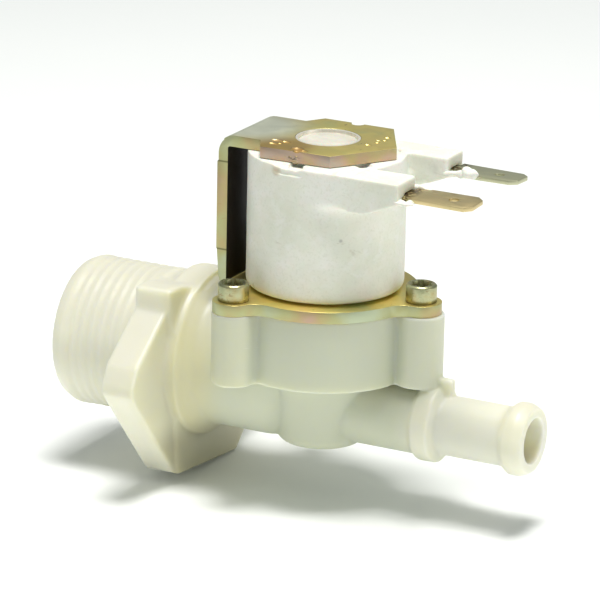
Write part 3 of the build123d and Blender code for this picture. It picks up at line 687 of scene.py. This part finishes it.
# The bending tool left the strip's outer face set in above one line and below another
upper_line, lower_line = yoke_top - 0.0048, yoke_low.z + 0.0076
for cut_height in (upper_line, lower_line):
    bpy.ops.object.select_all(action="DESELECT")
    yoke.select_set(True)
    bpy.context.view_layer.objects.active = yoke
    for offset in (-0.0001, 0.0001):
        bpy.ops.object.mode_set(mode="EDIT")
        bpy.ops.mesh.select_all(action="SELECT")
        bpy.ops.mesh.bisect(plane_co=(0, 0, cut_height + offset), plane_no=(0, 0, 1))
        bpy.ops.object.mode_set(mode="OBJECT")
for vertex in yoke.data.vertices:
    if vertex.co.x < yoke_low.x + 0.0012:
        if vertex.co.z > upper_line:
            vertex.co.x += 0.00022
        elif vertex.co.z < lower_line:
            vertex.co.x += 0.00012 + 0.08 * min(0.004, lower_line - vertex.co.z)
bpy.ops.object.select_all(action="DESELECT")
yoke.select_set(True)
bpy.context.view_layer.objects.active = yoke
bpy.ops.object.shade_smooth_by_angle(angle=radians(40))

zinc, zinc_tree, zinc_shader = new_finish("yellow_zinc")
zinc_marks = place_group(zinc_tree, mottle, **{"Cloud scale": 95.0, "Grain scale": 5200.0})
zinc_face = ramp(
    zinc_tree, zinc_marks.outputs["Cloud"],
    (0.30, (0.68, 0.70, 0.32)), (0.45, (0.86, 0.73, 0.25)), (0.60, (0.93, 0.75, 0.26)),
    (0.74, (0.86, 0.62, 0.28)),
)
zinc_place = shader_node(zinc_tree, "ShaderNodeTexCoord").outputs["Object"]
zinc_xyz = shader_node(zinc_tree, "ShaderNodeSeparateXYZ", {"Vector": zinc_place})


def zinc_zone(centre, outer, inner, amount):
    """A soft round zone of the plating."""
    away = shader_node(zinc_tree, "ShaderNodeVectorMath", {0: zinc_place, 1: centre}, operation="DISTANCE")
    return span(zinc_tree, away.outputs["Value"], outer, inner, high=amount, soft=True)


# The passive film thins on the blanked edges, pale green in the main, and pink to lilac on the
# hexagon's near edge, halfway up the leg and at one place on the plate
zinc_film_shift = zinc_marks.outputs["Cloud"]
for zone in (
    zinc_zone((coil_axis_x - 0.001, -0.011, yoke_top - 0.001), 0.0105, 0.005, 0.24),
    zinc_zone((yoke_low.x, -0.008, (yoke_low.z + yoke_top) / 2), 0.0100, 0.004, 0.18),
    zinc_zone((coil_axis_x + 0.0080, -0.0180, yoke_low.z), 0.0060, 0.002, 0.20),
    zinc_zone((coil_axis_x + 0.0080, -0.0080, yoke_top - 0.001), 0.0060, 0.002, 0.15),
):
    zinc_film_shift = math_node(zinc_tree, "ADD", zinc_film_shift, zone)
zinc_edge = ramp(
    zinc_tree, zinc_film_shift,
    (0.36, (0.46, 0.51, 0.35)), (0.52, (0.44, 0.44, 0.22)), (0.62, (0.47, 0.38, 0.19)),
    (0.72, (0.50, 0.35, 0.25)), (0.86, (0.45, 0.37, 0.31)),
)
zinc_normal = shader_node(zinc_tree, "ShaderNodeNewGeometry").outputs["Normal"]
zinc_tilt = shader_node(zinc_tree, "ShaderNodeSeparateXYZ", {"Vector": zinc_normal})
zinc_upright = math_node(zinc_tree, "ABSOLUTE", zinc_tilt.outputs["Z"])
zinc_side = span(zinc_tree, zinc_upright, 0.75, 0.35)


def line_mask(height):
    """A thin level line round the leg at one height."""
    gap = math_node(zinc_tree, "SUBTRACT", zinc_xyz.outputs["Z"], height)
    return span(zinc_tree, math_node(zinc_tree, "ABSOLUTE", gap), 0.00022, 0.00008)


zinc_lines = either(zinc_tree, line_mask(upper_line), line_mask(lower_line))
# Round the near pits the film is burnt bronze, and beside the leg it is thin and grey
zinc_burnt = blend_colour(
    zinc_tree, zinc_zone((coil_axis_x - 0.0042, -0.0088, yoke_top), 0.0075, 0.0030, 0.85),
    zinc_face, (0.55, 0.35, 0.10),
)
zinc_thin = blend_colour(
    zinc_tree, zinc_zone((yoke_low.x + 0.002, 0.0, yoke_top), 0.0130, 0.005, 0.90),
    zinc_burnt, (0.92, 0.95, 0.80),
)
zinc_clean = blend_colour(zinc_tree, zinc_side, zinc_thin, zinc_edge)
# Brown dirt fills the pits, just below the top face
pit_depth = span(zinc_tree, zinc_xyz.outputs["Z"], yoke_top - 0.00006, yoke_top - 0.00022, high=0.9)
pit_zone = either(
    zinc_tree, zinc_zone((coil_axis_x - 0.0038, -0.0082, yoke_top), 0.0056, 0.0046, 1.0),
    zinc_zone((coil_axis_x + 0.0084, 0.0018, yoke_top), 0.0036, 0.0030, 1.0),
)
pit_top = span(zinc_tree, zinc_xyz.outputs["Z"], yoke_top - 0.0009, yoke_top - 0.0007)
pit_inside = span(zinc_tree, zinc_xyz.outputs["Y"], -0.01055, -0.01040)
pit_share = pit_depth
for share in (pit_zone, pit_top, pit_inside):
    pit_share = both(zinc_tree, pit_share, share)
zinc_film = blend_colour(zinc_tree, pit_share, zinc_clean, (0.30, 0.17, 0.05))
zinc_scuffs = place_group(zinc_tree, scuffs, Scale=420.0, Amount=0.14)
zinc_worn = blend_colour(zinc_tree, zinc_scuffs.outputs["Mask"], zinc_film, (0.46, 0.34, 0.16))
zinc_lined = blend_colour(zinc_tree, zinc_lines, zinc_worn, (0.20, 0.19, 0.09))
# Painted shade: behind the coil the leg's inner face and the bends beside it, and the top plate's underside,
# are painted brown-black and dull, for the shade in these gaps
gap_face_mask = span(zinc_tree, zinc_tilt.outputs["X"], 0.6, 0.85)
gap_reach_mask = span(zinc_tree, zinc_xyz.outputs["X"], yoke_low.x + 0.0040, yoke_low.x + 0.0030)
leg_gap_shade = both(zinc_tree, gap_face_mask, gap_reach_mask)
under_face = span(zinc_tree, zinc_tilt.outputs["Z"], -0.6, -0.9, high=0.85)
under_top = span(zinc_tree, zinc_xyz.outputs["Z"], yoke_top - 0.004, yoke_top - 0.003)
underside_shade = both(zinc_tree, under_face, under_top)
painted_gap_shade = either(zinc_tree, leg_gap_shade, underside_shade)
dull_share = either(zinc_tree, painted_gap_shade, pit_share)
zinc_tree.links.new(
    blend_colour(zinc_tree, painted_gap_shade, zinc_lined, (0.014, 0.009, 0.004)),
    zinc_shader.inputs["Base Color"],
)
bright_share = span(zinc_tree, dull_share, 0.0, 1.0, low=0.92, high=0.0)
zinc_tree.links.new(bright_share, zinc_shader.inputs["Metallic"])
rough_range(zinc_tree, zinc_shader, zinc_marks.outputs["Patch"], 0.28, 0.46)
bumped(zinc_tree, zinc_shader, zinc_marks.outputs["Grain"], 0.25, 0.00006)
zinc_shader.inputs["Specular IOR Level"].default_value = 0.3
yoke.data.materials.append(zinc)
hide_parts("yoke")
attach(yoke, "valve")

# The deepest pit pushed a small ragged lip out of the edge below it
bpy.ops.object.select_all(action="DESELECT")
bpy.ops.mesh.primitive_ico_sphere_add(
    subdivisions=4, radius=0.0009, scale=(1.5, 0.42, 0.75),
    location=(coil_axis_x - 0.0007, -0.0105, yoke_top - 0.0015),
)
bpy.ops.object.transform_apply(location=True, rotation=True, scale=True)
lip = bpy.context.object
lip.name = lip.data.name = "yoke_stake_lip"
for vertex in lip.data.vertices:
    vertex.co += Vector(noise.noise_vector(vertex.co * 1500)) * 0.00030
    vertex.co.z -= 0.35 * max(0.0, 0.0107 + vertex.co.y)
apply_modifier(lip, "SMOOTH", factor=0.5, iterations=2)
bpy.ops.object.shade_smooth()
lip.data.materials.append(zinc)
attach(lip, "valve")

# ---------------------------------------------------------------- winding
# Enamelled copper wire on a bobbin, wrapped in yellow tape, with its two tails led out to the
# tabs. The jacket hides all of it.
copper, copper_tree, copper_shader = new_finish("enamelled_copper")
copper_place = shader_node(copper_tree, "ShaderNodeTexCoord").outputs["Object"]
copper_turns = shader_node(copper_tree, "ShaderNodeTexWave", {
    "Vector": copper_place, "Scale": 1400.0, "Distortion": 0.6, "Detail": 1.0,
}, bands_direction="Z")
copper_tree.links.new(
    ramp(copper_tree, copper_turns.outputs["Fac"], (0.2, (0.30, 0.12, 0.05)), (0.8, (0.72, 0.36, 0.18))),
    copper_shader.inputs["Base Color"],
)
copper_shader.inputs["Metallic"].default_value = 0.85
copper_shader.inputs["Roughness"].default_value = 0.3
bumped(copper_tree, copper_shader, copper_turns.outputs["Fac"], 0.6, 0.0001)
for node in ("coil_winding", "lead_near", "lead_far"):
    dress(node, copper)

tape, tape_tree, tape_shader = new_finish("polyester_tape")
tape_marks = place_group(tape_tree, mottle, **{"Cloud scale": 120.0, "Grain scale": 3000.0})
tape_tree.links.new(
    ramp(tape_tree, tape_marks.outputs["Cloud"], (0.3, (0.72, 0.58, 0.16)), (0.7, (0.84, 0.72, 0.30))),
    tape_shader.inputs["Base Color"],
)
rough_range(tape_tree, tape_shader, tape_marks.outputs["Patch"], 0.2, 0.4)
dress("winding_tape", tape)

# ---------------------------------------------------------------- coil jacket
# Matt white compound moulded round the wound bobbin. It is soft at its corners and carries
# handling marks.
jacket = cast_from("coil_case", "coil_jacket")
jacket.data.remesh_voxel_size = 0.0003
bpy.ops.object.voxel_remesh()
apply_modifier(jacket, "SMOOTH", factor=0.5, iterations=4)
jacket_low, jacket_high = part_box("coil_case")
# The horns run into the drum of the coil with no edge, and their own edges are well rounded
horn_blend = jacket.vertex_groups.new(name="horn_blend")
horn_foot = jacket.vertex_groups.new(name="horn_foot")
for vertex in jacket.data.vertices:
    x, y, z = vertex.co
    if x > coil_axis_x + 0.002 and z > jacket_high.z - 0.0090:
        horn_blend.add([vertex.index], 1.0, "REPLACE")
        if z < jacket_high.z - 0.0030 and (x - coil_axis_x) ** 2 + y ** 2 < 0.0172 ** 2:
            horn_foot.add([vertex.index], min(1.0, (jacket_high.z - 0.0030 - z) / 0.0008), "REPLACE")
apply_modifier(jacket, "SMOOTH", factor=0.5, iterations=10, vertex_group="horn_blend")
apply_modifier(jacket, "SMOOTH", factor=0.5, iterations=130, vertex_group="horn_foot")
chip_centre, chip_half = radians(-93), radians(13)
pock_place = Vector((coil_axis_x + 0.0072, -0.0128, jacket_high.z - 0.0026))
for vertex in jacket.data.vertices:
    x, y, z = vertex.co
    spread_x = x - coil_axis_x
    radius = (spread_x ** 2 + y ** 2) ** 0.5
    # The compound is a little uneven all over, softly turned in at the foot
    vertex.co += Vector(noise.noise_vector(vertex.co * 260)) * 0.00005
    foot = max(0.0, 1 - (z - jacket_low.z) / 0.0016)
    if foot and radius > 0.0115:
        vertex.co.x -= spread_x / radius * 0.00045 * foot ** 2
        vertex.co.y -= y / radius * 0.00045 * foot ** 2
        vertex.co.z += 0.00028 * foot
    # A rough chip along the near rim, and a small pock in the near horn's side
    chip = 1 - abs(atan2(y, spread_x) - chip_centre) / chip_half
    if chip > 0 and z > jacket_high.z - 0.0013 and radius > 0.0118:
        bite = min(1.0, chip * 3) * (0.75 + 0.5 * noise.noise(vertex.co * 1400))
        vertex.co.z -= 0.0006 * bite
        vertex.co.y += 0.00025 * bite
    pock = max(0.0, 1 - (vertex.co - pock_place).length / 0.0009)
    vertex.co.y += 0.0004 * pock
bpy.ops.object.shade_smooth()

jacket_finish, jacket_tree, jacket_shader = new_finish("white_compound")
jacket_marks = place_group(jacket_tree, mottle, **{"Cloud scale": 95.0, "Grain scale": 2200.0})
jacket_cloud = ramp(
    jacket_tree, jacket_marks.outputs["Cloud"],
    (0.32, (0.755, 0.77, 0.65)), (0.50, (0.815, 0.82, 0.72)), (0.66, (0.875, 0.87, 0.80)),
)
# Paler blooms, a few millimetres across, where the compound has more filler
jacket_bloom = span(jacket_tree, jacket_marks.outputs["Patch"], 0.50, 0.72, high=0.5)
jacket_pale = blend_colour(jacket_tree, jacket_bloom, jacket_cloud, (0.88, 0.88, 0.83))
# Fine grey speckle of the glass in it
jacket_speck = span(jacket_tree, jacket_marks.outputs["Grain"], 0.52, 0.75, high=0.45)
jacket_tone = blend_colour(jacket_tree, jacket_speck, jacket_pale, (0.68, 0.69, 0.58))
jacket_scuffs = place_group(jacket_tree, scuffs, Scale=110.0, Amount=0.15)
jacket_wear_and_tint = blend_colour(jacket_tree, jacket_scuffs.outputs["Mask"], jacket_tone, (0.66, 0.65, 0.54))
jacket_place = shader_node(jacket_tree, "ShaderNodeTexCoord").outputs["Object"]


def stain_and_reflection(under, centre, reach, colour, strength):
    """Colour with one small smudge round a point."""
    away = shader_node(jacket_tree, "ShaderNodeVectorMath", {
        0: jacket_place, 1: centre,
    }, operation="DISTANCE")
    near_it = span(jacket_tree, away.outputs["Value"], reach, reach * 0.2, high=strength, soft=True)
    broken = both(jacket_tree, near_it, jacket_marks.outputs["Patch"])
    return blend_colour(jacket_tree, broken, under, colour)


for centre, reach, colour, strength in (
    ((coil_axis_x - 0.0030, -0.0133, jacket_high.z - 0.0009), 0.0013, (0.45, 0.33, 0.16), 1.6),
    (tuple(pock_place), 0.0006, (0.45, 0.45, 0.38), 1.2),
    # Low on the drum, just above the gold yoke plate, two warm tints: partly real stains, partly a painted
    # reflection of the plate
    ((coil_axis_x - 0.0116, -0.0066, jacket_low.z + 0.003), 0.0055, (0.70, 0.58, 0.43), 0.6),
    ((coil_axis_x + 0.0110, -0.0080, jacket_low.z + 0.001), 0.0050, (0.72, 0.61, 0.46), 0.5),
    ((coil_axis_x + 0.0082, -0.0107, 0.0272), 0.00045, (0.36, 0.36, 0.34), 1.6),
    ((coil_axis_x + 0.0172, 0.0055, 0.0371), 0.0014, (0.50, 0.50, 0.42), 0.7),
):
    jacket_wear_and_tint = stain_and_reflection(jacket_wear_and_tint, centre, reach, colour, strength)
jacket_tree.links.new(jacket_wear_and_tint, jacket_shader.inputs["Base Color"])
rough_range(jacket_tree, jacket_shader, jacket_marks.outputs["Patch"], 0.42, 0.62)
bumped(jacket_tree, jacket_shader, jacket_marks.outputs["Patch"], 0.3, 0.0002)
jacket_shader.inputs["Subsurface Weight"].default_value = 0.2
jacket_shader.inputs["Subsurface Scale"].default_value = 0.0008
jacket.data.materials.append(jacket_finish)
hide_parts("coil_case")
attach(jacket, "valve")

# ---------------------------------------------------------------- flash at the tabs
# Lumps of the same compound that squeezed out round the tabs when the jacket was moulded.
tab_low, tab_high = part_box("terminal_near")
tab_mid_z = (tab_low.z + tab_high.z) / 2
flash_lumps = {
    "flash_near": [
        (0.0196, -0.0128, -0.0004, 0.0013, 0.0009, 0.0005),
        (0.0208, -0.0124, -0.0006, 0.0013, 0.0007, 0.0004),
        (0.0216, -0.0117, -0.0003, 0.0009, 0.0005, 0.0004),
        (0.0190, -0.0060, 0.0003, 0.0012, 0.0007, 0.0007),
        (0.0203, -0.0058, 0.0003, 0.0013, 0.0006, 0.0006),
        (0.0216, -0.0057, 0.0002, 0.0010, 0.0004, 0.0004),
    ],
    "flash_far": [
        (0.0205, 0.0056, 0.0001, 0.0015, 0.0007, 0.0006),
        (0.0222, 0.0056, 0.0002, 0.0014, 0.0006, 0.0006),
        (0.0236, 0.0056, 0.0006, 0.0012, 0.0007, 0.0011),
        (0.0244, 0.0058, 0.0006, 0.0010, 0.0008, 0.0009),
        (0.0196, 0.0112, -0.0004, 0.0009, 0.0009, 0.0007),
    ],
}
for name, lumps in flash_lumps.items():
    bpy.ops.object.select_all(action="DESELECT")
    drops = []
    for lump_x, lump_y, lump_z, long_r, wide_r, high_r in lumps:
        bpy.ops.mesh.primitive_ico_sphere_add(
            subdivisions=3, radius=1, location=(coil_axis_x + lump_x, lump_y, tab_mid_z + lump_z),
            scale=(long_r, wide_r, high_r),
        )
        bpy.ops.object.transform_apply(location=True, rotation=True, scale=True)
        drops.append(bpy.context.object)
    bpy.ops.object.select_all(action="DESELECT")
    for drop in drops:
        drop.select_set(True)
    bpy.context.view_layer.objects.active = drops[0]
    bpy.ops.object.join()
    flash = bpy.context.object
    flash.name = flash.data.name = name
    flash.data.remesh_voxel_size = 0.00012
    bpy.ops.object.voxel_remesh()
    for vertex in flash.data.vertices:
        vertex.co += Vector(noise.noise_vector(vertex.co * 700)) * 0.00030
    apply_modifier(flash, "SMOOTH", factor=0.5, iterations=3)
    bpy.ops.object.shade_smooth()
    flash.data.materials.append(jacket_finish)
    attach(flash, "valve")

# ---------------------------------------------------------------- tabs
# Two flat brass blades, tin-washed to a dull straw colour, with clipped corners and a latch
# hole for the receptacle.
brass, brass_tree, brass_shader = new_finish("washed_brass")
brass_marks = place_group(brass_tree, mottle, **{"Cloud scale": 210.0, "Grain scale": 5200.0})
brass_place = shader_node(brass_tree, "ShaderNodeTexCoord").outputs["Object"]
brass_lines = shader_node(brass_tree, "ShaderNodeTexNoise", {
    "Vector": shader_node(brass_tree, "ShaderNodeMapping", {
        "Vector": brass_place, "Scale": (0.06, 1.0, 1.0),
    }).outputs["Vector"],
    "Scale": 5200.0, "Detail": 2.0,
})
# Brown flux and moulding dirt, broken up, on the root of each tab
brass_xyz = shader_node(brass_tree, "ShaderNodeSeparateXYZ", {"Vector": brass_place})
brass_root = span(brass_tree, brass_xyz.outputs["X"], jacket_high.x + 0.0022, jacket_high.x + 0.0008)
brass_spots = shader_node(brass_tree, "ShaderNodeTexNoise", {
    "Vector": brass_place, "Scale": 1100.0, "Detail": 3.0, "Distortion": 1.0,
})
brass_broken = span(brass_tree, brass_spots.outputs["Fac"], 0.40, 0.52)
brass_dirt = both(brass_tree, brass_root, brass_broken)
brass_warm = ramp(
    brass_tree, brass_marks.outputs["Cloud"], (0.3, (0.60, 0.50, 0.26)), (0.7, (0.72, 0.58, 0.31)),
)
# The far tab took more tin than the near one, so it is greyer
brass_far = span(brass_tree, brass_xyz.outputs["Y"], 0.0, 0.001, high=0.85)
brass_washed = blend_colour(brass_tree, brass_far, brass_warm, (0.54, 0.56, 0.39))
brass_tree.links.new(
    blend_colour(brass_tree, brass_dirt, brass_washed, (0.12, 0.08, 0.03)),
    brass_shader.inputs["Base Color"],
)
brass_shader.inputs["Metallic"].default_value = 0.9
rough_range(brass_tree, brass_shader, brass_lines.outputs["Fac"], 0.30, 0.48)
bumped(brass_tree, brass_shader, brass_lines.outputs["Fac"], 0.12, 0.00005)
# Each blade is knocked a few degrees out of level
blade_start = jacket_high.x
blade_twist = {"near": radians(2.2), "far": radians(-3.2)}
for side, twist in blade_twist.items():
    blade = soft_cast(f"terminal_{side}", f"tab_blade_{side}", 0.00012, 2)
    blade_low, blade_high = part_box(f"terminal_{side}")
    blade_y = (blade_low.y + blade_high.y) / 2
    for vertex in blade.data.vertices:
        reach = min(1.0, max(0.0, (vertex.co.x - blade_start + 0.001) / 0.003))
        off_y, off_z = vertex.co.y - blade_y, vertex.co.z - tab_mid_z
        vertex.co.y = blade_y + off_y * cos(twist * reach) - off_z * sin(twist * reach)
        vertex.co.z = tab_mid_z + off_y * sin(twist * reach) + off_z * cos(twist * reach) - 0.0001 * reach
    blade.data.materials.append(brass)
    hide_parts(f"terminal_{side}")
    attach(blade, "valve")

# ---------------------------------------------------------------- screws
# Three thread-forming screws with cylinder heads and six-lobe sockets, plated like the yoke.
screw_zinc, screw_tree, screw_shader = new_finish("screw_zinc")
screw_marks = place_group(screw_tree, mottle, **{"Cloud scale": 420.0, "Grain scale": 5200.0})
screw_scuffs = place_group(screw_tree, scuffs, Scale=700.0, Amount=0.2)
screw_plate = blend_colour(
    screw_tree, screw_scuffs.outputs["Mask"],
    ramp(
        screw_tree, screw_marks.outputs["Cloud"],
        (0.3, (0.36, 0.38, 0.22)), (0.5, (0.46, 0.46, 0.27)), (0.72, (0.44, 0.36, 0.17)),
    ),
    (0.28, 0.21, 0.11),
)
# Painted shade: the sockets and a ring round the feet of the heads are painted near black
screw_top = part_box("screw_near")[1].z
screw_place = shader_node(screw_tree, "ShaderNodeTexCoord").outputs["Object"]
screw_xyz = shader_node(screw_tree, "ShaderNodeSeparateXYZ", {"Vector": screw_place})
screw_plan = shader_node(screw_tree, "ShaderNodeCombineXYZ", {
    "X": screw_xyz.outputs["X"], "Y": screw_xyz.outputs["Y"],
})
socket_near = span(screw_tree, screw_distance(screw_tree, screw_plan.outputs["Vector"]), 0.0019, 0.0014)
socket_deep = span(screw_tree, screw_xyz.outputs["Z"], screw_top - 0.0001, screw_top - 0.0008)
socket_shade = both(screw_tree, socket_near, socket_deep)
head_foot_shade = span(screw_tree, screw_xyz.outputs["Z"], screw_top - 0.0025, screw_top - 0.0031, high=0.8)
painted_socket_shade = either(screw_tree, socket_shade, head_foot_shade)
screw_tree.links.new(
    blend_colour(screw_tree, painted_socket_shade, screw_plate, (0.075, 0.055, 0.025)),
    screw_shader.inputs["Base Color"],
)
screw_shader.inputs["Metallic"].default_value = 0.95
rough_range(screw_tree, screw_shader, screw_marks.outputs["Patch"], 0.2, 0.42)
bumped(screw_tree, screw_shader, screw_marks.outputs["Patch"], 0.3, 0.0001)
for place in ("outlet", "near", "far"):
    screw = soft_cast(f"screw_{place}", f"screw_{place}_plated", 0.00016, 2)
    screw.data.materials.append(screw_zinc)
    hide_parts(f"screw_{place}")
    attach(screw, "valve")
